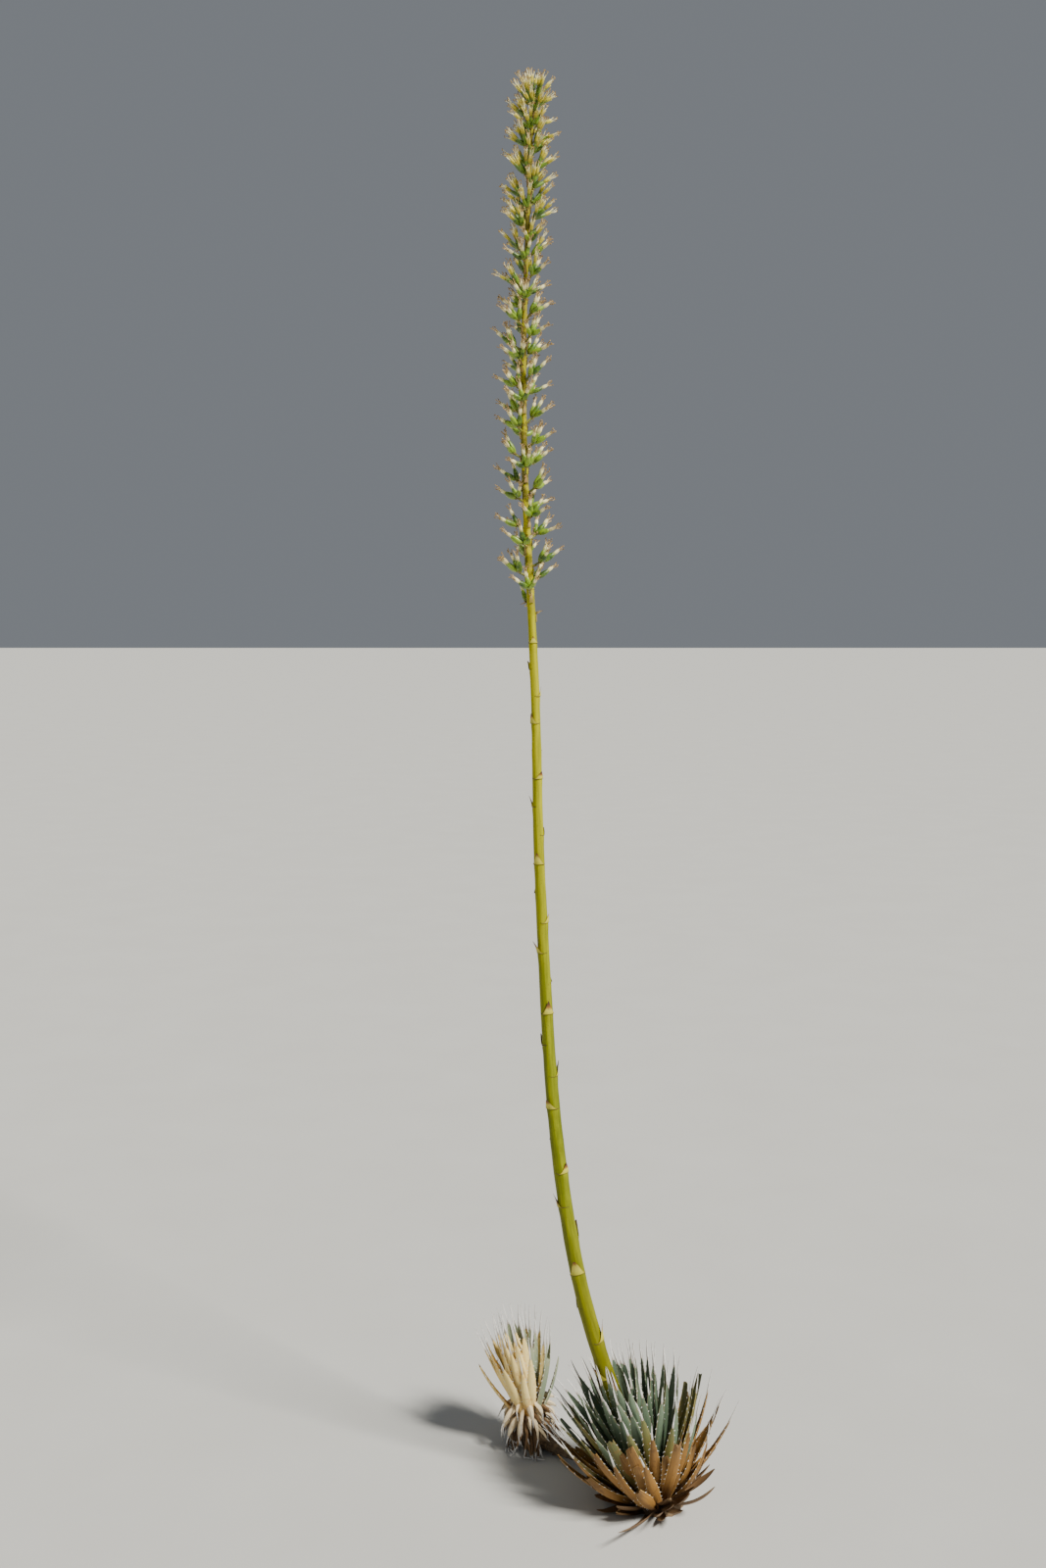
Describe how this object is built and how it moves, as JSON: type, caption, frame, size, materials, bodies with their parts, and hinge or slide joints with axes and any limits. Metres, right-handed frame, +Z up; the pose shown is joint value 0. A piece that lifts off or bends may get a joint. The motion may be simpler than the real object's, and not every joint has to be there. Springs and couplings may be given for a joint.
{
  "type": "flowering utah agave plant",
  "caption": "Desert agave in flower: tall leaning flower stalk with a slim spike of blossom and seed pods, spiny leaf rosette at its foot and a smaller offset rosette.",
  "frame": {"origin": "middle of the main stem's flat cut at ground level, under the large rosette", "axes": "+Z up along the plant's height, -X the way the flower stalk leans at its foot, +Y away from the viewer towards the offset rosette"},
  "size_m": [0.5191, 0.4786, 2.6048],
  "materials": {
    "stalk_rind": "smooth, slightly waxy",
    "old_wood": "rough",
    "leaf_green": "matt, waxy bloom",
    "leaf_dry": "matt, dry",
    "leaf_straw": "matt, dry",
    "leaf_spine": "hard, matt",
    "bract_husk": "papery",
    "flower_green": "smooth, slightly waxy",
    "petal_yellow": "matt",
    "stamen_tan": "matt"
  },
  "bodies": {
    "root": {"flower_stalk": "stalk_rind", "offset_stem": "old_wood", "outer_leaves_1": "leaf_dry", "outer_leaves_2": "leaf_dry", "outer_leaves_3": "leaf_dry", "outer_leaves_4": "leaf_dry", "outer_leaves_5": "leaf_dry", "outer_leaves_6": "leaf_dry", "outer_leaves_7": "leaf_dry", "outer_leaves_8": "leaf_dry", "middle_leaves_1": "leaf_green", "middle_leaves_2": "leaf_green", "middle_leaves_3": "leaf_green", "middle_leaves_4": "leaf_green", "middle_leaves_5": "leaf_green", "middle_leaves_6": "leaf_green", "middle_leaves_7": "leaf_green", "middle_leaves_8": "leaf_green", "inner_leaves_1": "leaf_green", "inner_leaves_2": "leaf_green", "inner_leaves_3": "leaf_green", "inner_leaves_4": "leaf_green", "inner_leaves_5": "leaf_green", "inner_leaves_6": "leaf_green", "inner_leaves_7": "leaf_green", "inner_leaves_8": "leaf_green", "offset_leaves_1": "leaf_straw", "offset_leaves_2": "leaf_straw", "offset_leaves_3": "leaf_straw", "offset_leaves_4": "leaf_straw", "offset_leaves_5": "leaf_straw", "offset_leaves_6": "leaf_straw", "offset_leaves_7": "leaf_straw", "offset_leaves_8": "leaf_straw", "flower_tier_01": "flower_green", "flower_tier_02": "flower_green", "flower_tier_03": "flower_green", "flower_tier_04": "flower_green", "flower_tier_05": "flower_green", "flower_tier_06": "flower_green", "flower_tier_07": "flower_green", "flower_tier_08": "flower_green", "flower_tier_09": "flower_green", "flower_tier_10": "flower_green", "flower_tier_11": "flower_green", "flower_tier_12": "flower_green"}
  },
  "joints": []
}
